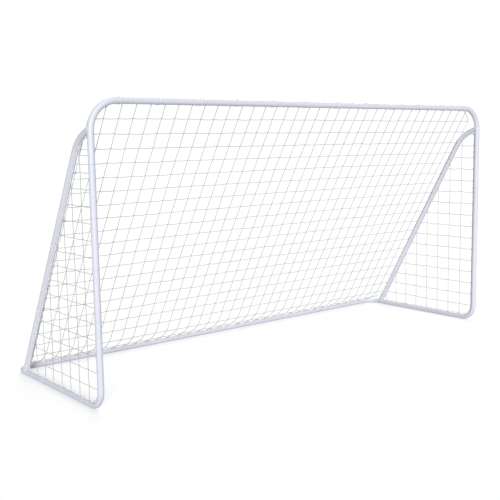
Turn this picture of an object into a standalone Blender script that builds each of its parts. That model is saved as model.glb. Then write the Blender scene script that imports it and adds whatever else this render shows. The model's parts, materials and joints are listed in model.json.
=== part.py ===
"""Free-standing soccer goal, 12 x 6 x 4 ft, of push-together steel tube with a three-panel net.

Metres, +Z up. The origin is on the ground, in the middle of the goal's box. X runs along the
crossbar, and the open mouth faces -Y. Each side is one bent tube (a crossbar end, the post and the
base bar) with a diagonal stay welded to it. Two crossbar tubes and a rear ground bar join the
sides, and a sprung button locks each socket.
"""

from math import atan2, cos, pi, radians, sin, tan

import bmesh
import bpy
from mathutils import Matrix, Vector

# The goal, over the outside of its tubes
WIDTH = 3.660
HEIGHT = 1.830
DEPTH = 1.220

# The tube: a round one, drawn with SIDES flats, of which one faces the ground
SIDES = 32
TUBE_R = 0.0200
WALL = 0.0015
FLAT = 1 / cos(pi / SIDES)  # from a flat's distance to a corner's
SMOOTH_ANGLE = radians(30.0)
TOUCHING = 0.00001  # points closer than this are one point

# Centre lines of the frame
SIDE_X = WIDTH / 2 - TUBE_R
FRONT_Y = -DEPTH / 2 + TUBE_R
REAR_Y = DEPTH / 2 - TUBE_R
BASE_Z = TUBE_R
TOP_Z = HEIGHT - TUBE_R

# Bends, to the centre line
TOP_BEND_R = 0.175
FOOT_BEND_R = 0.110
REAR_BEND_R = 0.100
STAY_BEND_R = 0.260
BEND_STEP = radians(9.0)

# The stay: it leaves the back of the post, dips, and runs down to the base bar
STAY_TOP_Z = 1.652
STAY_DIP = radians(21.8)
STAY_KNEE = 0.170
STAY_FOOT_Y = 0.471
STAY_START = 0.012  # behind the post's centre line
WELD_GAP = 0.0004

# Sockets: a reduced end (spigot) pushed into a plain end
SPIGOT_LENGTH = 0.055
SPIGOT_PLAY = 0.0004
SHOULDER = 0.0003
CROSSBAR_LEG = 0.070  # straight end of the side tube, past its top bend
REAR_LEG = 0.060  # straight ends of the rear corner: its socket, past the bend,
REAR_LEAD = 0.004  # and the short run between the spigot's shoulder and the bend
CLOSE_JOINT = 0.0004
OPEN_JOINT = 0.0020  # the rear corners stand a little out of the base bars
BASE_JOINT_Y = REAR_Y - REAR_BEND_R - REAR_LEAD
BORE_REACH = 0.004  # how far a bore's cutter runs out of its tube
BORE_INSET = 2 * WALL  # the bore narrows this far inside a spigot's shoulder,
BORE_STEP = 4 * WALL  # over this length

# Snap button and its spring, by distance from the tube's axis
BUTTON_SIDES = 16
BUTTON_R = 0.0034
BUTTON_TOP = 0.0240
BUTTON_FLANGE_R = 0.0045
BUTTON_FLANGE_TOP = 0.0158
BUTTON_BOTTOM = 0.0126
BUTTON_DOME = ((0.0, 0.0), (0.5, 0.1), (0.87, 0.4), (1.0, 0.8))  # (out, down) in BUTTON_R
HOLE_R = 0.0038
SPRING_R = 0.0140
SPRING_T = 0.0008
SPRING_HALF_WIDTH = 0.0075
SPRING_ARM = 0.0140
SPRING_RING_END = 0.0075
SPRING_FOOT_END = 0.0040
SPRING_EYE_R = 0.0051
SPRING_BEND_STEPS = 8

# Net panels, as thin sheets tied close inside the tubes
NET_T = 0.002
NET_GAP = 0.026  # from a tube's centre line to a panel's edge
NET_HALF_WIDTH = SIDE_X - NET_GAP
NET_TOP = (FRONT_Y + 0.0200, TOP_Z - 0.0140)
NET_HEEL = (0.425, 0.100)  # where the back panel turns to the rear bar
NET_END = (REAR_Y - 0.0173, BASE_Z + 0.0173)
NET_TOP_CUT = (0.124, 0.100)  # what the back panel's corners lose, across and down
NET_FOOT_CUT = (0.120, 0.120)
NET_CORNER_R = 0.020  # a side panel's corner at the stay's foot


def clear_scene():
    for ob in list(bpy.data.objects):
        bpy.data.objects.remove(ob, do_unlink=True)


def collection(name):
    made = bpy.data.collections.new(name)
    bpy.context.scene.collection.children.link(made)
    return made


def material(name, colour, roughness, metallic):
    made = bpy.data.materials.new(name)
    made.use_nodes = True
    made.diffuse_color = (*colour, 1.0)
    shader = made.node_tree.nodes["Principled BSDF"]
    shader.inputs["Base Color"].default_value = (*colour, 1.0)
    shader.inputs["Roughness"].default_value = roughness
    shader.inputs["Metallic"].default_value = metallic
    return made


clear_scene()
GOAL = collection("soccer_goal")
CUTTERS = collection("cutters")
POWDER_COAT = material("powder_coat", (0.80, 0.81, 0.88), 0.35, 0.0)
ZINC = material("zinc", (0.62, 0.64, 0.66), 0.35, 1.0)
SPRING_STEEL = material("spring_steel", (0.45, 0.46, 0.48), 0.30, 1.0)
NETTING = material("netting", (0.78, 0.78, 0.76), 0.85, 0.0)


# ---------------------------------------------------------------- centre lines


def rounded(corners, radii):
    """The corners as a line, with an arc of the given radius at each inner one."""
    corners = [Vector(c) for c in corners]
    line = [corners[0]]
    for before, corner, after, radius in zip(corners, corners[1:], corners[2:], radii):
        back = (before - corner).normalized()
        ahead = (after - corner).normalized()
        turn = pi - back.angle(ahead)
        centre = corner + (back + ahead).normalized() * (radius / cos(turn / 2))
        spoke = corner + back * radius * tan(turn / 2) - centre
        axis = spoke.cross(corner + ahead * radius * tan(turn / 2) - centre).normalized()
        steps = max(2, round(turn / BEND_STEP))
        for i in range(steps + 1):
            line.append(centre + Matrix.Rotation(turn * i / steps, 3, axis) @ spoke)
    line.append(corners[-1])
    return line


def lengths_along(line):
    total, found = 0.0, [0.0]
    for a, b in zip(line, line[1:]):
        total += (b - a).length
        found.append(total)
    return found


def point_at(line, along, distance):
    """The point at a distance along the line, which runs on straight past both ends."""
    i = next((k for k in range(1, len(line) - 1) if along[k] > distance), len(line) - 1)
    a, b = line[i - 1], line[i]
    return a + (b - a).normalized() * (distance - along[i - 1])


# ---------------------------------------------------------------- curves and solids


def poly_curve(name, points, closed=False):
    """A curve of straight runs through the points, before it is given any body."""
    curve = bpy.data.curves.new(name, "CURVE")
    curve.dimensions = "3D"
    curve.resolution_u = 1
    curve.render_resolution_u = 0
    spline = curve.splines.new("POLY")
    spline.use_cyclic_u = closed
    spline.points.add(len(points) - 1)
    for point, place in zip(spline.points, points):
        point.co = (*place, 1.0)
    return curve


def flat_curve(name, outline, thickness):
    """A filled outline in the curve's own XY plane, half its thickness on either side."""
    curve = poly_curve(name, [(x, y, 0.0) for x, y in outline], closed=True)
    curve.dimensions = "2D"
    curve.fill_mode = "BOTH"
    curve.extrude = thickness / 2
    return curve


def solid_from(curve, name):
    """The curve's body as a welded mesh object in the same place; the curve is removed."""
    guide = bpy.data.objects.new(name + "_line", curve)
    GOAL.objects.link(guide)
    evaluated = guide.evaluated_get(bpy.context.evaluated_depsgraph_get())
    mesh = bpy.data.meshes.new_from_object(evaluated)
    mesh.name = name
    place = guide.matrix_world.copy()
    bpy.data.objects.remove(guide)
    bpy.data.curves.remove(curve)
    bm = bmesh.new()
    bm.from_mesh(mesh)
    bmesh.ops.remove_doubles(bm, verts=bm.verts, dist=TOUCHING)
    bmesh.ops.recalc_face_normals(bm, faces=bm.faces)
    bm.to_mesh(mesh)
    bm.free()
    made = bpy.data.objects.new(name, mesh)
    made.matrix_world = place
    return made


def swept(name, stations):
    """A closed round bar through (point, radius) stations, as a welded mesh object."""
    curve = poly_curve(name, [place for place, _ in stations])
    curve.twist_mode = "MINIMUM"
    curve.bevel_depth = 1.0
    curve.bevel_resolution = (SIDES - 4) // 2
    curve.use_fill_caps = True
    for point, (_, radius) in zip(curve.splines[0].points, stations):
        point.radius = radius
        point.tilt = pi / SIDES
    return solid_from(curve, name)


def frame_matrix(x_axis, z_axis, place):
    """A placing matrix with these two axes; the third follows from them."""
    y_axis = z_axis.cross(x_axis)
    turn = Matrix((x_axis, y_axis, z_axis)).transposed().to_4x4()
    return Matrix.Translation(place) @ turn


def smooth(ob):
    ob.data.shade_smooth()
    ob.data.set_sharp_from_angle(angle=SMOOTH_ANGLE)


def as_part(ob, colour):
    GOAL.objects.link(ob)
    ob.data.materials.clear()
    ob.data.materials.append(colour)
    return ob


def as_cutter(ob):
    CUTTERS.objects.link(ob)
    ob.hide_render = True
    ob.display_type = "WIRE"
    return ob


def cut(ob, cutter):
    boolean = ob.modifiers.new("cut_" + cutter.name, "BOOLEAN")
    boolean.operation = "DIFFERENCE"
    boolean.solver = "EXACT"
    boolean.object = cutter


def drill(name, radius, length, placing):
    """A round cutter along the placing matrix's Z, centred on its place."""
    mesh = bpy.data.meshes.new(name)
    bm = bmesh.new()
    bmesh.ops.create_cone(
        bm, cap_ends=True, segments=BUTTON_SIDES, radius1=radius, radius2=radius, depth=length
    )
    bm.to_mesh(mesh)
    bm.free()
    made = bpy.data.objects.new(name, mesh)
    made.matrix_world = placing
    return as_cutter(made)


# ---------------------------------------------------------------- tubes


def bar_stations(line, ends, radius, spigot_radius, inset, reach, step):
    """Stations for a bar with reduced ends: inset moves the step along, reach the tip out."""
    along = lengths_along(line)
    first, last = 0.0, along[-1]
    marks = []
    if ends[0] == "spigot":
        marks += [(-SPIGOT_LENGTH - reach, spigot_radius), (inset, spigot_radius)]
        first = inset + step
    else:
        first = -reach
    marks.append((first, radius))
    closing = []
    if ends[1] == "spigot":
        last = along[-1] - inset - step
        closing = [(along[-1] - inset, spigot_radius)]
        closing.append((along[-1] + SPIGOT_LENGTH + reach, spigot_radius))
    else:
        last = along[-1] + reach
    marks += [(s, radius) for s in along if first + step < s < last - step]
    marks.append((last, radius))
    marks += closing
    return [(point_at(line, along, s), r) for s, r in marks]


def tube(name, line, ends):
    """A hollow tube along the line; an end is plain or has a spigot past the line's end."""
    outer_r = TUBE_R * FLAT
    spigot_r = (TUBE_R - WALL - SPIGOT_PLAY) * FLAT
    made = swept(name, bar_stations(line, ends, outer_r, spigot_r, 0.0, 0.0, SHOULDER))
    as_part(made, POWDER_COAT)
    bore = swept(
        name + "_bore",
        bar_stations(
            line, ends, outer_r - WALL, spigot_r - WALL, BORE_INSET, BORE_REACH, BORE_STEP
        ),
    )
    cut(made, as_cutter(bore))
    smooth(made)
    return made


# ---------------------------------------------------------------- snap buttons


def turned(name, profile, sides):
    """A solid of revolution about its own Z, from a profile that runs down its outer side."""
    mesh = bpy.data.meshes.new(name)
    edges = [(i, i + 1) for i in range(len(profile) - 1)]
    mesh.from_pydata([(r, 0.0, z) for r, z in profile], edges, [])
    made = bpy.data.objects.new(name, mesh)
    screw = made.modifiers.new("turn", "SCREW")
    screw.angle = 2 * pi
    screw.steps = sides
    screw.render_steps = sides
    screw.use_merge_vertices = True
    screw.merge_threshold = TOUCHING
    screw.use_smooth_shade = True
    return made


def spring_clip(name, place, inward, outward):
    """A U-shaped leaf spring inside the spigot, with an eye around the button's flange."""
    inner_r = SPRING_R - SPRING_T
    turn = [pi / 2 - pi * i / SPRING_BEND_STEPS for i in range(SPRING_BEND_STEPS + 1)]
    outline = [(-SPRING_RING_END, SPRING_R)]
    outline += [(SPRING_ARM + SPRING_R * cos(a), SPRING_R * sin(a)) for a in turn]
    outline += [(-SPRING_FOOT_END, -SPRING_R), (-SPRING_FOOT_END, -inner_r)]
    outline += [(SPRING_ARM + inner_r * cos(a), inner_r * sin(a)) for a in reversed(turn)]
    outline += [(-SPRING_RING_END, inner_r)]
    made = solid_from(flat_curve(name, outline, 2 * SPRING_HALF_WIDTH), name)
    made.matrix_world = frame_matrix(inward, inward.cross(outward), place)
    as_part(made, SPRING_STEEL)
    eye_place = frame_matrix(inward, outward, place + outward * SPRING_R)
    cut(made, drill(name + "_eye", SPRING_EYE_R, SPRING_R / 2, eye_place))
    smooth(made)


def snap_button(socket, shoulder, inward, outward, tubes):
    """One locked socket: the button, its spring, and its hole through both tubes.

    shoulder is where the spigot starts on the centre line, and inward points from the spigot's
    tip into its own tube.
    """
    shoulder, inward, outward = Vector(shoulder), Vector(inward), Vector(outward)
    place = shoulder - inward * SPIGOT_LENGTH / 2
    hole_place = frame_matrix(inward, outward, place + outward * (BUTTON_BOTTOM + TUBE_R / 2))
    hole = drill("hole_" + socket, HOLE_R, TUBE_R, hole_place)
    for ob in tubes:
        cut(ob, hole)
    profile = [(out * BUTTON_R, BUTTON_TOP - down * BUTTON_R) for out, down in BUTTON_DOME]
    profile += [
        (BUTTON_R, BUTTON_FLANGE_TOP),
        (BUTTON_FLANGE_R, BUTTON_FLANGE_TOP),
        (BUTTON_FLANGE_R, BUTTON_BOTTOM),
        (0.0, BUTTON_BOTTOM),
    ]
    button = as_part(turned("button_" + socket, profile, BUTTON_SIDES), ZINC)
    button.matrix_world = frame_matrix(inward, outward, place)
    spring_clip("spring_" + socket, place, inward, outward)


# ---------------------------------------------------------------- frame


def side_line(side):
    """Centre line of a side tube: crossbar end, top bend, post, foot bend, base bar."""
    x = side * SIDE_X
    return rounded(
        [
            (side * (SIDE_X - TOP_BEND_R - CROSSBAR_LEG), FRONT_Y, TOP_Z),
            (x, FRONT_Y, TOP_Z),
            (x, FRONT_Y, BASE_Z),
            (x, BASE_JOINT_Y - OPEN_JOINT, BASE_Z),
        ],
        [TOP_BEND_R, FOOT_BEND_R],
    )


def stay_corners():
    """The stay's line in the side plane: (y, z) at the post, the knee and the foot."""
    knee_y = FRONT_Y + STAY_KNEE * cos(STAY_DIP)
    knee_z = STAY_TOP_Z - STAY_KNEE * sin(STAY_DIP)
    return [(FRONT_Y, STAY_TOP_Z), (knee_y, knee_z), (STAY_FOOT_Y, BASE_Z)]


def stay(name, side):
    """A bent stay, its ends shaped to the post and the base bar that it is welded to."""
    corners = [Vector((side * SIDE_X, y, z)) for y, z in stay_corners()]
    corners[0] += (corners[1] - corners[0]).normalized() * STAY_START
    made = tube(name, rounded(corners, [STAY_BEND_R]), ("plain", "plain"))
    line = side_line(side)
    line[-1].y = REAR_Y
    fit_r = TUBE_R * FLAT + WELD_GAP
    cope = swept(name + "_cope", [(p, fit_r) for p in line])
    cut(made, as_cutter(cope))


def rear_corner(name, side):
    """Elbow between base bar and rear bar: a spigot forward, a plain socket inward."""
    x = side * SIDE_X
    line = rounded(
        [
            (x, BASE_JOINT_Y, BASE_Z),
            (x, REAR_Y, BASE_Z),
            (side * (SIDE_X - REAR_BEND_R - REAR_LEG), REAR_Y, BASE_Z),
        ],
        [REAR_BEND_R],
    )
    return tube(name, line, ("spigot", "plain"))


def cross_tubes(names, y, z, end_x, gap):
    """Two tubes across the goal: spigots at both outer ends, and one at the middle."""
    reach = end_x - gap
    left = tube(names[0], [Vector((-reach, y, z)), Vector((0, y, z))], ("spigot", "spigot"))
    start = Vector((CLOSE_JOINT, y, z))
    right = tube(names[1], [start, Vector((reach, y, z))], ("plain", "spigot"))
    return left, right


def build_frame():
    left_side = tube("left_side_tube", side_line(-1), ("plain", "plain"))
    right_side = tube("right_side_tube", side_line(1), ("plain", "plain"))
    stay("left_stay", -1)
    stay("right_stay", 1)
    left_corner = rear_corner("left_rear_corner", -1)
    right_corner = rear_corner("right_rear_corner", 1)
    top_end = SIDE_X - TOP_BEND_R - CROSSBAR_LEG
    crossbar = cross_tubes(
        ("crossbar_left", "crossbar_right"), FRONT_Y, TOP_Z, top_end, CLOSE_JOINT
    )
    rear_end = SIDE_X - REAR_BEND_R - REAR_LEG
    rear_bar = cross_tubes(
        ("rear_bar_left", "rear_bar_right"), REAR_Y, BASE_Z, rear_end, OPEN_JOINT
    )

    behind, ahead = (0, 1, 0), (0, -1, 0)
    for bars, word, y, z, end, gap, sides, face in (
        (crossbar, "crossbar", FRONT_Y, TOP_Z, top_end, CLOSE_JOINT, (left_side, right_side), behind),
        (rear_bar, "rear", REAR_Y, BASE_Z, rear_end, OPEN_JOINT, (left_corner, right_corner), ahead),
    ):
        shoulder = end - gap
        snap_button(word + "_left", (-shoulder, y, z), (1, 0, 0), face, (bars[0], sides[0]))
        snap_button(word + "_centre", (0, y, z), (-1, 0, 0), face, bars)
        snap_button(word + "_right", (shoulder, y, z), (-1, 0, 0), face, (bars[1], sides[1]))
    for side, word, tubes in (
        (-1, "left", (left_corner, left_side)),
        (1, "right", (right_corner, right_side)),
    ):
        shoulder = (side * SIDE_X, BASE_JOINT_Y, BASE_Z)
        snap_button("base_" + word, shoulder, (0, 1, 0), (-side, 0, 0), tubes)


# ---------------------------------------------------------------- net


def stay_offset(distance):
    """The stay's straight run, moved to its rear side by a distance, as y0 - slope * z."""
    _, knee, foot = stay_corners()
    slope = (foot[0] - knee[0]) / (knee[1] - foot[1])
    lean = atan2(1.0, slope)
    return foot[0] + slope * foot[1] + distance / sin(lean), slope


def back_profile():
    """The back panel's line in (y, z), from behind the crossbar to the rear bar."""
    return rounded([(0.0, y, z) for y, z in (NET_TOP, NET_HEEL, NET_END)], [REAR_BEND_R])


def back_net():
    """The sloping back panel; its corners are cut to clear the frame's bends."""
    line = back_profile()
    along = lengths_along(line)
    length = along[-1]
    (top_across, top_down), (foot_across, foot_down) = NET_TOP_CUT, NET_FOOT_CUT
    mesh = bpy.data.meshes.new("back_net")
    bm = bmesh.new()
    rows = []
    for distance in sorted({*along, top_down, length - foot_down}):
        point = point_at(line, along, distance)
        top_loss = top_across * (1 - distance / top_down)
        foot_loss = foot_across * (1 - (length - distance) / foot_down)
        half = NET_HALF_WIDTH - max(0.0, top_loss, foot_loss)
        rows.append([bm.verts.new((x, point.y, point.z)) for x in (-half, half)])
    for upper, lower in zip(rows, rows[1:]):
        bm.faces.new((upper[0], lower[0], lower[1], upper[1]))
    bm.to_mesh(mesh)
    bm.free()
    made = as_part(bpy.data.objects.new("back_net", mesh), NETTING)
    solidify = made.modifiers.new("thickness", "SOLIDIFY")
    solidify.thickness = NET_T
    solidify.offset = 0.0


def side_net(name, side):
    """A flat side panel between post, base bar and stay."""
    top, knee, foot = stay_corners()
    y0, slope = stay_offset(-NET_GAP)
    front_y = FRONT_Y + NET_GAP
    base_z = BASE_Z + NET_GAP
    dip = tan(STAY_DIP)
    lower = top[1] - NET_GAP / cos(STAY_DIP)
    knee_z = (lower - dip * (y0 - FRONT_Y)) / (1.0 - dip * slope)
    corners = [
        (front_y, lower - dip * (front_y - FRONT_Y)),
        (y0 - slope * knee_z, knee_z),
        (y0 - slope * base_z, base_z),
        (front_y, base_z),
        (front_y, lower - dip * (front_y - FRONT_Y)),
    ]
    bends = [STAY_BEND_R - NET_GAP, NET_CORNER_R, FOOT_BEND_R - NET_GAP]
    outline = rounded([(y, z, 0.0) for y, z in corners], bends)[:-1]
    curve = flat_curve(name, [(y, z) for y, z, _ in outline], NET_T)
    made = bpy.data.objects.new(name, curve)
    made.matrix_world = frame_matrix(
        Vector((0, 1, 0)), Vector((1, 0, 0)), Vector((side * SIDE_X, 0, 0))
    )
    GOAL.objects.link(made)
    curve.materials.append(NETTING)


build_frame()
back_net()
side_net("left_side_net", -1)
side_net("right_side_net", 1)
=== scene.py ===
"""The looks of the soccer goal: powder-coated tube, welded stays and a knotted twine net.

Metres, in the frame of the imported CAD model. The CAD tubes, snap buttons and springs stay as they
are and get their materials here. Each net panel's plain sheet is replaced by a lattice of twine
with a knot at each crossing, a border cord, and ties round the tubes.
"""

import json
import random
from math import acos, atan2, cos, hypot, pi, radians, sin, sqrt, tan

import bpy
import numpy as np
from mathutils import Matrix, Vector

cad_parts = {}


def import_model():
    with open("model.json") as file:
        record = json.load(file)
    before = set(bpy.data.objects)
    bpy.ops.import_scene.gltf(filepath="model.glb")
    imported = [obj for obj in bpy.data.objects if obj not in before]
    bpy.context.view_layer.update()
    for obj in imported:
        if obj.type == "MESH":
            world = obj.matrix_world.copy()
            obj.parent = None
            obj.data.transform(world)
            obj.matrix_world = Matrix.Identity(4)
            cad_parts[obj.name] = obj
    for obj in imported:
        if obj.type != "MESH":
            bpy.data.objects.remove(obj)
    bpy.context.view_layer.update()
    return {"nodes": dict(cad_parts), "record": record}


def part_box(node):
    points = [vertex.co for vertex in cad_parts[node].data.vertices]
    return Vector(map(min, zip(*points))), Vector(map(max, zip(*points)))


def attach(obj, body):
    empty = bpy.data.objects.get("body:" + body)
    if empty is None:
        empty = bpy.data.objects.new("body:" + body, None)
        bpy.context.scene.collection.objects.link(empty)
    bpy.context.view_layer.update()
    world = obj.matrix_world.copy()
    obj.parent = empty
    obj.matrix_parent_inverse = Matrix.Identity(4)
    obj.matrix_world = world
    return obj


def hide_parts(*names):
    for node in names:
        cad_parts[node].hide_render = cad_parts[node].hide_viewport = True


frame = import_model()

random.seed(12)

# ---------------------------------------------------------------- sizes


def middle(node):
    low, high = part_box(node)
    return (low + high) / 2


# Centre lines of the frame, from the CAD nodes
TUBE_R = (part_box("rear_bar_left")[1].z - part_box("rear_bar_left")[0].z) / 2
SIDE_X = middle("right_stay").x
FRONT_Y, TOP_Z = middle("crossbar_left").yz
REAR_Y, BASE_Z = middle("rear_bar_left").yz

# Bends and the stay's line, as part.py has them
FOOT_BEND_R = 0.110
REAR_BEND_R = 0.100
STAY_BEND_R = 0.260
STAY_TOP_Z = 1.652
STAY_DIP = radians(21.8)
STAY_KNEE = 0.170
STAY_FOOT_Y = 0.471

# Net panels, as part.py has them
NET_GAP = 0.026
NET_HALF_WIDTH = SIDE_X - NET_GAP
NET_TOP = (FRONT_Y + 0.0200, TOP_Z - 0.0140)
NET_HEEL = (0.425, 0.100)
NET_END = (REAR_Y - 0.0173, BASE_Z + 0.0173)
NET_TOP_CUT = (0.124, 0.100)
NET_FOOT_CUT = (0.120, 0.120)
NET_CORNER_R = 0.020

# Twine and cord
TWINE_R = 0.0020
CORD_R = 0.0030
TWINE_SIDES = 6
CORD_SIDES = 12
BORDER_STEP = 0.012
BORDER_BEND_R = 0.050  # at the back panel's cut corners
SIDE_TOP_BEND_R = 0.010  # at a side panel's top corner

# The lattices
BACK_COLUMNS = 36
MESH = 0.100
SIDE_COLUMN = 0.120
SIDE_ROW = 0.098
SIDE_FIRST_ROW = 0.085
MESH_STEPS = 4  # runs of twine between one knot and the next
KNOT_JITTER = 0.0022
ROW_SAG = 0.0030
BACK_BILLOW = 0.012
SIDE_BILLOW = 0.004

# ---------------------------------------------------------------- materials


class Nodes:
    """Short calls for building one material's nodes."""

    def __init__(self, name):
        self.material = bpy.data.materials.new(name)
        self.material.use_nodes = True
        self.tree = self.material.node_tree
        self.shader = self.tree.nodes["Principled BSDF"]

    def set(self, node, inputs):
        for key, value in inputs.items():
            if isinstance(value, bpy.types.NodeSocket):
                self.tree.links.new(value, node.inputs[key])
            else:
                node.inputs[key].default_value = value

    def node(self, kind, inputs, **settings):
        made = self.tree.nodes.new("ShaderNode" + kind)
        for key, value in settings.items():
            setattr(made, key, value)
        self.set(made, inputs)
        return made

    def math(self, operation, a, b=0.0):
        return self.node("Math", {0: a, 1: b}, operation=operation).outputs[0]

    def place(self):
        """The point in the object's own space, which is the CAD frame at rest."""
        return self.node("TexCoord", {}).outputs["Object"]

    def noise(self, scale, detail=3.0, roughness=0.5, place=None):
        inputs = {"Vector": place or self.place(), "Scale": scale}
        inputs |= {"Detail": detail, "Roughness": roughness}
        return self.node("TexNoise", inputs).outputs["Fac"]

    def spread(self, value, low, high, to_low=0.0, to_high=1.0):
        """value from low..high to to_low..to_high, held at the ends."""
        inputs = {0: value, 1: low, 2: high, 3: to_low, 4: to_high}
        return self.node("MapRange", inputs).outputs[0]

    def mix(self, share, a, b):
        made = self.node("Mix", {0: share}, data_type="RGBA")
        self.set(made, {6: a, 7: b})
        return made.outputs[2]

    def bump(self, height, strength, distance, normal=None):
        inputs = {"Height": height, "Strength": strength, "Distance": distance}
        if normal is not None:
            inputs["Normal"] = normal
        return self.node("Bump", inputs).outputs["Normal"]


def colour(red, green, blue):
    return (red, green, blue, 1.0)


def powder_coat():
    """Smooth white coat with a lavender cast: faint mottling, orange peel, dust near the ground."""
    n = Nodes("powder_coat_finish")
    tone = n.noise(2.6, detail=4.0)
    base = n.mix(n.spread(tone, 0.3, 0.7), colour(0.585, 0.60, 0.675), colour(0.625, 0.64, 0.715))
    height = n.node("SeparateXYZ", {0: n.place()}).outputs[2]
    low = n.spread(height, 0.0, 0.10, 1.0, 0.0)
    specks = n.spread(n.noise(70.0, detail=5.0, roughness=0.7), 0.55, 0.72)
    dust = n.math("MULTIPLY", n.math("MULTIPLY", low, specks), 0.35)
    base = n.mix(dust, base, colour(0.52, 0.50, 0.47))
    satin = n.spread(n.noise(35.0, detail=2.0), 0.3, 0.7, 0.36, 0.46)
    rough = n.math("ADD", satin, n.math("MULTIPLY", dust, 0.5))
    peel = n.bump(n.noise(420.0, detail=2.0), 0.10, 0.0006)
    grit = n.bump(n.noise(1900.0, detail=1.0), 0.05, 0.0002, normal=peel)
    n.set(n.shader, {"Base Color": base, "Roughness": rough, "Normal": grit})
    n.set(n.shader, {"Metallic": 0.0, "IOR": 1.46, "Specular IOR Level": 0.45})
    return n.material


def zinc():
    """Bright plate with a fine crystal pattern and turning marks."""
    n = Nodes("zinc_finish")
    grains = n.node("TexVoronoi", {"Vector": n.place(), "Scale": 900.0}).outputs["Distance"]
    base = n.mix(n.spread(grains, 0.1, 0.8), colour(0.58, 0.60, 0.63), colour(0.74, 0.76, 0.78))
    rough = n.spread(n.noise(600.0), 0.3, 0.7, 0.24, 0.40)
    n.set(n.shader, {"Base Color": base, "Roughness": rough, "Metallic": 1.0})
    n.set(n.shader, {"Normal": n.bump(n.noise(1500.0), 0.15, 0.0002)})
    return n.material


def spring_steel():
    """Blued strip, rolled along its length."""
    n = Nodes("spring_steel_finish")
    stretched = n.node("Mapping", {"Vector": n.place(), "Scale": (1.0, 12.0, 12.0)})
    grain = n.noise(300.0, detail=4.0, place=stretched.outputs[0])
    base = n.mix(n.spread(grain, 0.3, 0.7), colour(0.30, 0.32, 0.37), colour(0.46, 0.47, 0.50))
    rough = n.spread(grain, 0.3, 0.7, 0.26, 0.42)
    n.set(n.shader, {"Base Color": base, "Roughness": rough, "Metallic": 1.0})
    n.set(n.shader, {"Normal": n.bump(grain, 0.2, 0.0002)})
    return n.material


def braided(name, light, groove_shade_and_age, pitch, bands):
    """Braided strand: two sets of helical bands that cross, from each point's place on it, with
    painted shade in the grooves between the bands.
    """
    n = Nodes(name)
    strand = n.node("Attribute", {}, attribute_name="strand").outputs["Vector"]
    parts = n.node("SeparateXYZ", {0: strand}).outputs
    turn = n.math("MULTIPLY", n.math("ARCTAN2", parts[2], parts[1]), float(bands))
    run = n.math("MULTIPLY", parts[0], 2 * pi / pitch)
    one_way = n.math("SINE", n.math("ADD", run, turn))
    other_way = n.math("SINE", n.math("SUBTRACT", run, turn))
    height = n.spread(n.math("MAXIMUM", one_way, other_way), -0.2, 1.0)
    fibres = n.noise(1600.0, detail=3.0, roughness=0.7)
    # Painted shade: the grooves between the bands take the darker colour and the crests the lighter
    # one; fibre noise varies it a little.
    shade = n.math("MULTIPLY", height, n.spread(fibres, 0.25, 0.75, 0.8, 1.0))
    base = n.mix(shade, groove_shade_and_age, light)
    # Random patches of age lean toward the same darker colour.
    age = n.spread(n.noise(6.0, detail=4.0), 0.35, 0.75, 0.0, 0.25)
    base = n.mix(age, base, groove_shade_and_age)
    bump = n.bump(height, 0.5, 0.0004)
    bump = n.bump(fibres, 0.25, 0.0002, normal=bump)
    rough = n.spread(fibres, 0.2, 0.8, 0.72, 0.92)
    n.set(n.shader, {"Base Color": base, "Roughness": rough, "Normal": bump})
    n.set(n.shader, {"Sheen Weight": 0.15, "Sheen Roughness": 0.6, "Specular IOR Level": 0.3})
    return n.material


def floor_paint():
    """Matt white that glows a little, so that the ground fades into the white backdrop."""
    n = Nodes("floor_paint")
    tone = n.spread(n.noise(0.8, detail=4.0), 0.3, 0.7)
    n.set(n.shader, {"Base Color": n.mix(tone, colour(0.50, 0.50, 0.50), colour(0.52, 0.52, 0.52))})
    n.set(n.shader, {"Roughness": n.spread(n.noise(40.0), 0.3, 0.7, 0.75, 0.85)})
    n.set(n.shader, {"Specular IOR Level": 0.0})
    n.set(n.shader, {"Emission Color": colour(1.0, 1.0, 1.0), "Emission Strength": 0.50})
    return n.material


POWDER_COAT = powder_coat()
ZINC = zinc()
SPRING_STEEL = spring_steel()
# In each pair of colours below, the second is painted shade for the braid's grooves and also the
# tint of age.
TWINE = braided("twine_braid", colour(0.55, 0.55, 0.54), colour(0.34, 0.34, 0.33), 0.0080, 2)
CORD = braided("cord_braid", colour(0.84, 0.84, 0.86), colour(0.64, 0.64, 0.66), 0.0120, 4)
TIE = braided("tie_braid", colour(0.80, 0.81, 0.87), colour(0.60, 0.61, 0.67), 0.0060, 2)

# ---------------------------------------------------------------- lines

ARC_STEP = radians(9.0)


def rounded(corners, radii):
    """The corners as a line, with an arc of the given radius at each inner one."""
    corners = [Vector(c) for c in corners]
    line = [corners[0]]
    for before, corner, after, radius in zip(corners, corners[1:], corners[2:], radii):
        back = (before - corner).normalized()
        ahead = (after - corner).normalized()
        turn = pi - back.angle(ahead)
        centre = corner + (back + ahead).normalized() * (radius / cos(turn / 2))
        spoke = corner + back * radius * tan(turn / 2) - centre
        axis = spoke.cross(corner + ahead * radius * tan(turn / 2) - centre).normalized()
        steps = max(2, round(turn / ARC_STEP))
        for i in range(steps + 1):
            line.append(centre + Matrix.Rotation(turn * i / steps, 3, axis) @ spoke)
    line.append(corners[-1])
    return line


def rounded_loop(corners, radii):
    """A closed outline in its own plane, with an arc at every corner."""
    corners = [Vector((*c, 0.0)) for c in corners]
    start = (corners[-1] + corners[0]) / 2
    line = rounded([start, *corners, start], radii)
    return [(p.x, p.y) for p in line[:-1]]


def evenly(outline, step):
    """The closed outline again, with points at most a step apart."""
    made = []
    for (u0, v0), (u1, v1) in zip(outline, outline[1:] + outline[:1]):
        count = max(1, round(hypot(u1 - u0, v1 - v0) / step))
        made += [(u0 + (u1 - u0) * i / count, v0 + (v1 - v0) * i / count) for i in range(count)]
    return made


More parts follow.
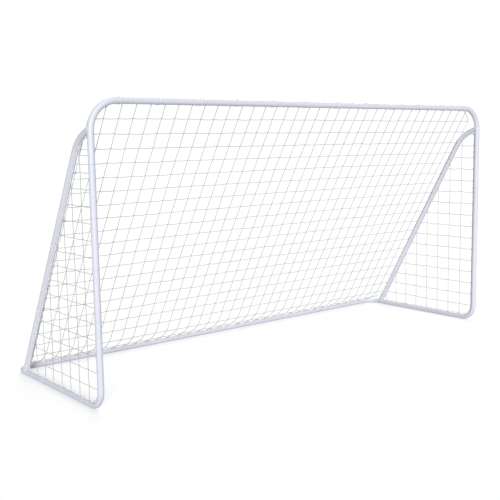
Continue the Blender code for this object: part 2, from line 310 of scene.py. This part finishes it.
def crossings(outline, axis, value):
    """Where the line axis = value enters and leaves the closed outline, along the other axis."""
    found = []
    for a, b in zip(outline, outline[1:] + outline[:1]):
        if (a[axis] - value) * (b[axis] - value) <= 0 and a[axis] != b[axis]:
            share = (value - a[axis]) / (b[axis] - a[axis])
            found.append(a[1 - axis] + (b[1 - axis] - a[1 - axis]) * share)
    return min(found), max(found)


# ---------------------------------------------------------------- meshes of strands


def sections(line, up, radius, sides, closed):
    """Rings of points round the line; up is a direction that the line never takes."""
    line = np.array(line, float)
    if closed:
        heading = np.roll(line, -1, axis=0) - np.roll(line, 1, axis=0)
    else:
        heading = np.gradient(line, axis=0)
    heading /= np.linalg.norm(heading, axis=1)[:, None]
    across = np.cross(heading, np.array(up, float))
    across /= np.linalg.norm(across, axis=1)[:, None]
    lift = np.cross(across, heading)
    angles = np.linspace(0.0, 2 * pi, sides, endpoint=False)
    radius = np.broadcast_to(radius, len(line))[:, None, None]
    spokes = across[:, None] * np.cos(angles)[:, None] + lift[:, None] * np.sin(angles)[:, None]
    places = line[:, None] + spokes * radius
    runs = np.linalg.norm(np.diff(line, axis=0), axis=1)
    along = np.concatenate([[0.0], np.cumsum(runs)])
    marks = np.empty((len(line), sides, 3))
    marks[:, :, 0] = along[:, None]
    marks[:, :, 1] = np.cos(angles)
    marks[:, :, 2] = np.sin(angles)
    return places.reshape(-1, 3), marks.reshape(-1, 3)


def ring_faces(rings, sides, closed):
    faces = []
    for i in range(rings if closed else rings - 1):
        here, ahead = i * sides, (i + 1) % rings * sides
        for k in range(sides):
            m = (k + 1) % sides
            faces.append((here + k, here + m, ahead + m, ahead + k))
    if not closed:
        faces.append(tuple(reversed(range(sides))))
        faces.append(tuple(range((rings - 1) * sides, rings * sides)))
    return faces


class Strands:
    """Collects strands, and makes them one mesh piece."""

    def __init__(self):
        self.places, self.marks, self.faces, self.count = [], [], [], 0

    def add_mesh(self, places, marks, faces):
        self.places.append(places)
        self.marks.append(marks)
        self.faces += [tuple(i + self.count for i in face) for face in faces]
        self.count += len(places)

    def add(self, line, up, radius, sides=TWINE_SIDES, closed=False):
        places, marks = sections(line, up, radius, sides, closed)
        self.add_mesh(places, marks, ring_faces(len(line), sides, closed))

    def piece(self, name, finish, slot):
        """One mesh of all the strands, which rides on the frame."""
        mesh = bpy.data.meshes.new(name)
        places = np.concatenate(self.places)
        mesh.from_pydata(places.tolist(), [], self.faces)
        mark = mesh.attributes.new("strand", "FLOAT_VECTOR", "POINT")
        mark.data.foreach_set("vector", np.concatenate(self.marks).ravel())
        mesh.shade_smooth()
        mesh.materials.append(finish)
        made = bpy.data.objects.new(name, mesh)
        bpy.context.scene.collection.objects.link(made)
        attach(made, "frame")
        return made


# ---------------------------------------------------------------- knots and hitches

KNOT_SIZE = 0.0011
KNOT_DEPTH = 0.0013
KNOT_TWINE_R = 0.0014
KNOT_POINTS = 16
KNOT_SIZES = (0.9, 1.1)  # the smallest and the largest of the net's knots


def knot_template():
    """A small overhand knot, flat in XY."""
    line = []
    for i in range(KNOT_POINTS):
        t = 2 * pi * i / KNOT_POINTS
        x = sin(t) + 2 * sin(2 * t)
        y = cos(t) - 2 * cos(2 * t)
        line.append((x * KNOT_SIZE, y * KNOT_SIZE, -sin(3 * t) * KNOT_DEPTH))
    places, marks = sections(line, (0, 0, 1), KNOT_TWINE_R, TWINE_SIDES, True)
    return places, marks, ring_faces(KNOT_POINTS, TWINE_SIDES, True)


KNOT = knot_template()


def add_knot(strands, place, normal, size=1.0):
    turn = Vector((0, 0, 1)).rotation_difference(Vector(normal)).to_matrix()
    turn = turn @ Matrix.Rotation(random.uniform(0, 2 * pi), 3, "Z")
    places, marks, faces = KNOT
    places = places @ (np.array(turn).T * size) + np.array(place)
    strands.add_mesh(places, marks, faces)


HITCH_TURNS = 2
HITCH_POINTS = 9
HITCH_R = CORD_R + 0.8 * TWINE_R
HITCH_PITCH = 2.1 * TWINE_R


def add_hitch(strands, place, heading, normal):
    """Twine wound round the border cord where a line of the net ends on it."""
    heading, normal = Vector(heading).normalized(), Vector(normal).normalized()
    across = heading.cross(normal).normalized()
    normal = across.cross(heading)
    line = []
    for i in range(HITCH_TURNS * HITCH_POINTS + 1):
        turn = 2 * pi * i / HITCH_POINTS
        step = (i / HITCH_POINTS - HITCH_TURNS / 2) * HITCH_PITCH
        spoke = across * cos(turn) + normal * sin(turn)
        line.append(Vector(place) + spoke * HITCH_R + heading * step)
    strands.add(line, heading, TWINE_R)


# ---------------------------------------------------------------- net panels


class Panel:
    """One net panel: an outline in (u, v), the surface that it lies on, and its lattice."""

    def __init__(self, name, outline, surface, columns, rows, billow):
        self.name = name
        self.outline = evenly(outline, BORDER_STEP)
        self.surface = surface
        self.columns, self.rows = columns, rows
        self.billow = billow
        us, vs = zip(*self.outline)
        self.span = (min(us), max(us), min(vs), max(vs))
        self.knots = {}

    def slack(self, u, v):
        """How far the panel hangs off its surface, nothing at the border."""
        u0, u1, v0, v1 = self.span
        return self.billow * sin(pi * (u - u0) / (u1 - u0)) * sin(pi * (v - v0) / (v1 - v0))

    def at(self, u, v, off=0.0):
        """The place at (u, v), moved off the surface against its normal."""
        place, normal = self.surface(u, v)
        return place - normal * off

    def knot(self, column, row, u, v):
        """The place of one crossing, a little off its true one."""
        if (column, row) not in self.knots:
            du, dv = (random.uniform(-KNOT_JITTER, KNOT_JITTER) for _ in range(2))
            self.knots[column, row] = self.at(u + du, v + dv, self.slack(u, v))
        return self.knots[column, row]

    def lines(self):
        """Each twine of the net as a list of places: its two ends on the border, knots between."""
        for i, u in enumerate(self.columns):
            low, high = crossings(self.outline, 0, u)
            inner = [(j, v) for j, v in enumerate(self.rows) if low < v < high]
            knots = [self.knot(i, j, u, v) for j, v in inner]
            yield "column", [self.at(u, low), *knots, self.at(u, high)]
        for j, v in enumerate(self.rows):
            low, high = crossings(self.outline, 1, v)
            inner = [(i, u) for i, u in enumerate(self.columns) if low < u < high]
            knots = [self.knot(i, j, u, v) for i, u in inner]
            yield "row", [self.at(low, v), *knots, self.at(high, v)]

    def heading_at(self, place):
        """The border cord's heading at its point nearest the place."""
        nearest = min(range(len(self.border)), key=lambda i: (self.border[i] - place).length)
        return self.border[(nearest + 1) % len(self.border)] - self.border[nearest - 1]

    def build(self):
        """The panel's twine, its knots, and its border cord with the hitches on it."""
        self.border = [self.at(u, v) for u, v in self.outline]
        normal = self.surface(*self.outline[0])[1]
        twine, knots, border = Strands(), Strands(), Strands()
        for kind, nodes in self.lines():
            twine.add(hung(nodes, ROW_SAG if kind == "row" else 0.0), normal, TWINE_R)
            for end in (nodes[0], nodes[-1]):
                add_hitch(border, end, self.heading_at(end), normal)
        for place in self.knots.values():
            add_knot(knots, place, normal, random.uniform(*KNOT_SIZES))
        border.add(self.border, normal, CORD_R, CORD_SIDES, closed=True)
        made = twine.piece(self.name + "_twine", TWINE, "netting")
        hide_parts(self.name)
        knots.piece(self.name + "_knots", TWINE, "netting")
        border.piece(self.name + "_border", CORD, "netting")


def hung(nodes, sag):
    """The run of twine through the nodes, sagging between them by sag at a full mesh."""
    line = [nodes[0]]
    for a, b in zip(nodes, nodes[1:]):
        drop = sag * ((b - a).length / MESH) ** 2 * random.uniform(0.6, 1.4)
        for i in range(1, MESH_STEPS + 1):
            t = i / MESH_STEPS
            line.append(a.lerp(b, t) - Vector((0, 0, drop * 4 * t * (1 - t))))
    return line


# ---------------------------------------------------------------- the three panels


def stay_corners():
    """The stay's line in the side plane: (y, z) at the post, the knee and the foot."""
    knee_y = FRONT_Y + STAY_KNEE * cos(STAY_DIP)
    knee_z = STAY_TOP_Z - STAY_KNEE * sin(STAY_DIP)
    return [(FRONT_Y, STAY_TOP_Z), (knee_y, knee_z), (STAY_FOOT_Y, BASE_Z)]


def stay_offset(distance):
    """The stay's straight run moved a distance to its rear, or forward if the distance is below
    zero, as (y0, slope) for y = y0 - slope * z."""
    _, knee, foot = stay_corners()
    slope = (foot[0] - knee[0]) / (knee[1] - foot[1])
    lean = atan2(1.0, slope)
    return foot[0] + slope * foot[1] + distance / sin(lean), slope


def back_profile():
    """The back panel's line in (y, z), from behind the crossbar to the rear bar."""
    return rounded([(0.0, y, z) for y, z in (NET_TOP, NET_HEEL, NET_END)], [REAR_BEND_R])


def back_panel():
    """The sloping back: u runs along x, v down the profile from the top border."""
    line = back_profile()
    along = np.concatenate([[0.0], np.cumsum([(b - a).length for a, b in zip(line, line[1:])])])
    ys, zs = [p.y for p in line], [p.z for p in line]
    length = along[-1]

    def surface(u, v):
        y, z = float(np.interp(v, along, ys)), float(np.interp(v, along, zs))
        i = min(max(int(np.searchsorted(along, v)), 1), len(line) - 1)
        fall = (line[i] - line[i - 1]).normalized()
        return Vector((u, y, z)), Vector((1, 0, 0)).cross(fall) * -1

    (top_across, top_down), (foot_across, foot_down) = NET_TOP_CUT, NET_FOOT_CUT
    half = NET_HALF_WIDTH
    right = [
        (half - top_across, 0.0),
        (half, top_down),
        (half, length - foot_down),
        (half - foot_across, length),
    ]
    corners = right + [(-u, v) for u, v in reversed(right)]
    outline = rounded_loop(corners, [BORDER_BEND_R] * len(corners))
    column = 2 * NET_HALF_WIDTH / BACK_COLUMNS
    columns = [-NET_HALF_WIDTH + column * i for i in range(1, BACK_COLUMNS)]
    count = round(length / MESH)
    rows = [length * j / count for j in range(1, count)]
    return Panel("back_net", outline, surface, columns, rows, BACK_BILLOW)


def side_panel(name, side):
    """A side: u runs back along y, v up along z."""
    top, _, _ = stay_corners()
    y0, slope = stay_offset(-NET_GAP)
    front_y = FRONT_Y + NET_GAP
    base_z = BASE_Z + NET_GAP
    dip = tan(STAY_DIP)
    lower = top[1] - NET_GAP / cos(STAY_DIP)
    knee_z = (lower - dip * (y0 - FRONT_Y)) / (1.0 - dip * slope)
    corners = [
        (front_y, lower - dip * (front_y - FRONT_Y)),
        (y0 - slope * knee_z, knee_z),
        (y0 - slope * base_z, base_z),
        (front_y, base_z),
    ]
    bends = [SIDE_TOP_BEND_R, STAY_BEND_R - NET_GAP, NET_CORNER_R, FOOT_BEND_R - NET_GAP]
    outline = rounded_loop(corners, bends)

    def surface(u, v):
        return Vector((side * SIDE_X, u, v)), Vector((side, 0, 0))

    depth = corners[2][0] - front_y
    columns = [front_y + SIDE_COLUMN * i for i in range(1, int(depth / SIDE_COLUMN) + 1)]
    count = int((corners[0][1] - base_z - SIDE_FIRST_ROW) / SIDE_ROW) + 1
    rows = [base_z + SIDE_FIRST_ROW + SIDE_ROW * j for j in range(count)]
    return Panel(name, outline, surface, columns, rows, SIDE_BILLOW)


# ---------------------------------------------------------------- ties

TIE_R = 0.0010
TIE_TURNS = 2
TIE_ARC_STEP = radians(15.0)
TIE_PITCH = 2.2 * TIE_R
TIE_CLEARANCE = 0.0004
TIE_REACH = 0.012  # how far along the tube a point of the border may be
TIE_KNOT_SIZE = 0.8
TIE_ENDS = (0.009, 0.013)  # how long the two loose ends are, at least and at most
TIE_END_BEND = 0.002

# Where the ties sit: along x on the crossbar and the rear bar, by height on the stays and the
# posts, and along y on the base bars
BAR_TIES = 5  # on each half of a bar
TIE_SPACING = 0.300
CROSSBAR_END_TIE = 1.615
REAR_BAR_END_TIE = 1.610
BACK_STAY_TIES = (0.20, 0.50, 0.80, 1.10, 1.40)
SIDE_STAY_TIES = (0.35, 0.65, 0.95, 1.25)
POST_TIES = (0.25, 0.55, 0.85, 1.15, 1.45)
BASE_TIES = (-0.38, -0.10, 0.18)


def belt(gap):
    """One turn of a tie round a tube and a border cord that are gap apart, from the cord's far
    side and back to it, as places (toward the cord, across) from the tube's centre."""
    big, small = TUBE_R + TIE_R + TIE_CLEARANCE, CORD_R + TIE_R
    lean = acos((big - small) / gap)
    points = []
    for centre, radius, start, end in (
        (gap, small, 0.0, lean),
        (0.0, big, lean, 2 * pi - lean),
        (gap, small, -lean, 0.0),
    ):
        count = max(2, round((end - start) / TIE_ARC_STEP))
        for i in range(count + 1):
            angle = start + (end - start) * i / count
            points.append((centre + radius * cos(angle), radius * sin(angle)))
    return points[:-1]


def add_tie(strands, tube, cord, heading):
    """Twine wound round tube and cord, knotted at the cord, with two short ends that point
    down, outward and to either side."""
    tube, cord, heading = Vector(tube), Vector(cord), Vector(heading).normalized()
    toward = cord - tube
    toward = (toward - heading * toward.dot(heading)).normalized()
    across = heading.cross(toward)
    points = belt((cord - tube).dot(toward))
    count = len(points) * TIE_TURNS
    line = []
    for i in range(count + 1):
        out, up = points[i % len(points)]
        step = (i / count - 0.5) * TIE_TURNS * TIE_PITCH
        line.append(tube + toward * out + across * up + heading * step)
    strands.add(line, heading, TIE_R)
    knot = cord + toward * (CORD_R + 2.0 * TIE_R)
    add_knot(strands, knot, toward, TIE_KNOT_SIZE)
    for sign in (-1, 1):
        fall = Vector((0, 0, -0.5)) + toward * 0.6 + heading * sign
        end = knot + fall.normalized() * random.uniform(*TIE_ENDS)
        bend = knot.lerp(end, 0.5) + toward * TIE_END_BEND
        strands.add([knot, bend, end], heading.cross(toward), TIE_R)


def ties(panel, places):
    """All of one panel's ties, at places on the tubes' centre lines given with their headings."""
    strands = Strands()
    for place, heading in places:
        heading = Vector(heading).normalized()
        level = [p for p in panel.border if abs((p - place).dot(heading)) < TIE_REACH]
        flat = [p - heading * (p - place).dot(heading) for p in level]
        add_tie(strands, place, min(flat, key=lambda p: (p - place).length), heading)
    strands.piece(panel.name + "_ties", TIE, "netting")


def stay_at(side, z):
    """A place on the stay's straight run, and the stay's heading there."""
    _, knee, foot = stay_corners()
    share = (knee[1] - z) / (knee[1] - foot[1])
    place = Vector((side * SIDE_X, knee[0] + (foot[0] - knee[0]) * share, z))
    return place, Vector((0, foot[0] - knee[0], foot[1] - knee[1]))


def back_ties():
    """Where the back panel is tied to the crossbar, the rear bar and both stays."""
    places = []
    for side in (-1, 1):
        for i in range(BAR_TIES):
            x = side * (i + 0.5) * TIE_SPACING
            places.append((Vector((x, FRONT_Y, TOP_Z)), (1, 0, 0)))
            places.append((Vector((x, REAR_Y, BASE_Z)), (1, 0, 0)))
        places.append((Vector((side * REAR_BAR_END_TIE, REAR_Y, BASE_Z)), (1, 0, 0)))
        places.append((Vector((side * CROSSBAR_END_TIE, FRONT_Y, TOP_Z)), (1, 0, 0)))
        places += [stay_at(side, z) for z in BACK_STAY_TIES]
    return places


def side_ties(side):
    """Where a side panel is tied to its post, base bar and stay."""
    x = side * SIDE_X
    places = [(Vector((x, FRONT_Y, z)), (0, 0, 1)) for z in POST_TIES]
    places += [(Vector((x, y, BASE_Z)), (0, 1, 0)) for y in BASE_TIES]
    places += [stay_at(side, z) for z in SIDE_STAY_TIES]
    return places


# ---------------------------------------------------------------- welds

BEAD_R = 0.0028
BEAD_SIDES = 10
BEAD_POINTS = 208
BEAD_RIPPLES = 52
BEAD_RIPPLE = 0.10
BEAD_EASE = 0.01  # rounds off the seam's two points, where it turns back


def weld_bead(name, joint, along, away, lean):
    """A rippled bead round the end of a stay. along is the main tube's axis, away points from it
    to the stay's side, and lean is the stay's angle from along."""
    joint, along, away = Vector(joint), Vector(along), Vector(away)
    aside = along.cross(away)
    stay_axis = along * cos(lean) + away * sin(lean)
    stay_up = away * cos(lean) - along * sin(lean)
    line, radii = [], []
    for i in range(BEAD_POINTS):
        turn = 2 * pi * i / BEAD_POINTS
        out, up = cos(turn), sin(turn)
        rise = TUBE_R * (sqrt(up * up + BEAD_EASE) - up * cos(lean)) / sin(lean)
        place = joint + stay_axis * rise + (aside * out + stay_up * up) * TUBE_R
        line.append(place)
        radii.append(BEAD_R * (1 + BEAD_RIPPLE * sin(BEAD_RIPPLES * turn)))
    bead = Strands()
    places, marks = sections(line, stay_axis, np.array(radii), BEAD_SIDES, True)
    bead.add_mesh(places, marks, ring_faces(BEAD_POINTS, BEAD_SIDES, True))
    bead.piece(name, POWDER_COAT, "powder_coat")


def weld_beads():
    _, knee, foot = stay_corners()
    rise = atan2(knee[1] - foot[1], knee[0] - foot[0])
    for side, word in ((-1, "left"), (1, "right")):
        post = (side * SIDE_X, FRONT_Y, STAY_TOP_Z)
        weld_bead(word + "_post_weld", post, (0, 0, 1), (0, 1, 0), pi / 2 + STAY_DIP)
        base = (side * SIDE_X, foot[0], foot[1])
        weld_bead(word + "_base_weld", base, (0, 1, 0), (0, 0, 1), rise)


# ---------------------------------------------------------------- CAD nodes

WELD_DISTANCE = 0.00001
SHARP_ANGLE = radians(30.0)


def smooth_group():
    """Geometry nodes that weld an imported CAD mesh and smooth it except across sharp edges."""
    group = bpy.data.node_groups.new("smooth_by_angle", "GeometryNodeTree")
    group.interface.new_socket("Geometry", in_out="INPUT", socket_type="NodeSocketGeometry")
    group.interface.new_socket("Geometry", in_out="OUTPUT", socket_type="NodeSocketGeometry")
    nodes, link = group.nodes, group.links.new
    start, end = nodes.new("NodeGroupInput"), nodes.new("NodeGroupOutput")
    plain = nodes.new("GeometryNodeRemoveAttribute")
    plain.inputs["Name"].default_value = "custom_normal"
    merge = nodes.new("GeometryNodeMergeByDistance")
    merge.inputs["Distance"].default_value = WELD_DISTANCE
    smooth = nodes.new("GeometryNodeSetShadeSmooth")
    sharp = nodes.new("GeometryNodeSetShadeSmooth")
    sharp.domain = "EDGE"
    sharp.inputs["Shade Smooth"].default_value = False
    angle = nodes.new("GeometryNodeInputMeshEdgeAngle")
    compare = nodes.new("FunctionNodeCompare")
    compare.operation = "GREATER_THAN"
    compare.inputs[1].default_value = SHARP_ANGLE
    link(start.outputs[0], plain.inputs[0])
    link(plain.outputs[0], merge.inputs[0])
    link(merge.outputs[0], smooth.inputs[0])
    link(smooth.outputs[0], sharp.inputs[0])
    link(angle.outputs["Unsigned Angle"], compare.inputs[0])
    link(compare.outputs[0], sharp.inputs["Selection"])
    link(sharp.outputs[0], end.inputs[0])
    return group


def finish_cad_nodes():
    """Materials and smooth shading for the tubes, buttons and springs."""
    group = smooth_group()
    finishes = {"powder_coat": POWDER_COAT, "zinc": ZINC, "spring_steel": SPRING_STEEL}
    slots = {s["node"]: s["material_slot"] for s in frame["record"]["subparts"]}
    for name, node in frame["nodes"].items():
        if slots[name] not in finishes:
            continue
        node.data.materials[0] = finishes[slots[name]]
        node.modifiers.new("smooth_by_angle", "NODES").node_group = group


# ---------------------------------------------------------------- stage

FLOOR_SIZE = 400.0
FLOOR_DROP = 0.0002  # keeps the floor clear of the tubes that stand on it
CAMERA_PLACE = (-4.022, -4.713, 1.559)
CAMERA_YAW = radians(39.12)
CAMERA_PITCH = radians(7.56)
CAMERA_ROLL = radians(-0.88)
CAMERA_LENS = 58.33
SENSOR_WIDTH = 36.0
SKY_COLOUR = (0.96, 0.97, 1.0, 1.0)
SKY_LIGHT = 0.40
BACKDROP_COLOUR = (1.0, 1.0, 1.0, 1.0)
BACKDROP_LIGHT = 1.02


def camera():
    """In front of the goal and to its left, at eye height, turned toward it."""
    data = bpy.data.cameras.new("camera")
    data.lens = CAMERA_LENS
    data.sensor_width = SENSOR_WIDTH
    data.clip_start, data.clip_end = 0.1, FLOOR_SIZE
    made = bpy.data.objects.new("camera", data)
    bpy.context.scene.collection.objects.link(made)
    turn = Matrix.Rotation(-CAMERA_YAW, 4, "Z") @ Matrix.Rotation(pi / 2 - CAMERA_PITCH, 4, "X")
    turn = turn @ Matrix.Rotation(CAMERA_ROLL, 4, "Z")
    made.matrix_world = Matrix.Translation(CAMERA_PLACE) @ turn
    bpy.context.scene.camera = made


def floor():
    """White ground that throws no light back on the goal."""
    mesh = bpy.data.meshes.new("floor")
    half = FLOOR_SIZE / 2
    corners = [(-half, -half), (half, -half), (half, half), (-half, half)]
    mesh.from_pydata([(x, y, -FLOOR_DROP) for x, y in corners], [], [(0, 1, 2, 3)])
    mesh.materials.append(floor_paint())
    made = bpy.data.objects.new("floor", mesh)
    bpy.context.scene.collection.objects.link(made)
    made.visible_diffuse = False


def sun(name, azimuth, elevation, spread, strength):
    """Soft light from far off: azimuth is counted in degrees from +X toward +Y, elevation from
    the ground, and spread is how wide the light looks."""
    data = bpy.data.lights.new(name, "SUN")
    data.angle = radians(spread)
    data.energy = strength
    made = bpy.data.objects.new(name, data)
    bpy.context.scene.collection.objects.link(made)
    azimuth, elevation = radians(azimuth), radians(elevation)
    flat = cos(elevation)
    toward = Vector((flat * cos(azimuth), flat * sin(azimuth), sin(elevation)))
    made.rotation_euler = toward.to_track_quat("Z", "Y").to_euler()


def world():
    """Even light from all round; seen directly it is the studio's white."""
    made = bpy.data.worlds.new("studio")
    made.use_nodes = True
    bpy.context.scene.world = made
    nodes, link = made.node_tree.nodes, made.node_tree.links.new
    light = nodes["Background"]
    light.inputs["Color"].default_value = SKY_COLOUR
    light.inputs["Strength"].default_value = SKY_LIGHT
    seen = nodes.new("ShaderNodeBackground")
    seen.inputs["Color"].default_value = BACKDROP_COLOUR
    seen.inputs["Strength"].default_value = BACKDROP_LIGHT
    mix = nodes.new("ShaderNodeMixShader")
    path = nodes.new("ShaderNodeLightPath")
    link(path.outputs["Is Camera Ray"], mix.inputs[0])
    link(light.outputs[0], mix.inputs[1])
    link(seen.outputs[0], mix.inputs[2])
    link(mix.outputs[0], nodes["World Output"].inputs["Surface"])


def stage():
    """Camera, floor, sky and three soft suns."""
    camera()
    floor()
    world()
    sun("key_light", azimuth=-127.0, elevation=13.0, spread=14.0, strength=2.9)
    sun("top_light", azimuth=-80.0, elevation=60.0, spread=60.0, strength=0.6)
    sun("back_light", azimuth=50.0, elevation=25.0, spread=40.0, strength=2.3)
    bpy.context.scene.view_settings.view_transform = "Standard"


# ---------------------------------------------------------------- all of it

stage()
finish_cad_nodes()
weld_beads()
back = back_panel()
back.build()
ties(back, back_ties())
for word, side in (("left", -1), ("right", 1)):
    panel = side_panel(word + "_side_net", side)
    panel.build()
    ties(panel, side_ties(side))
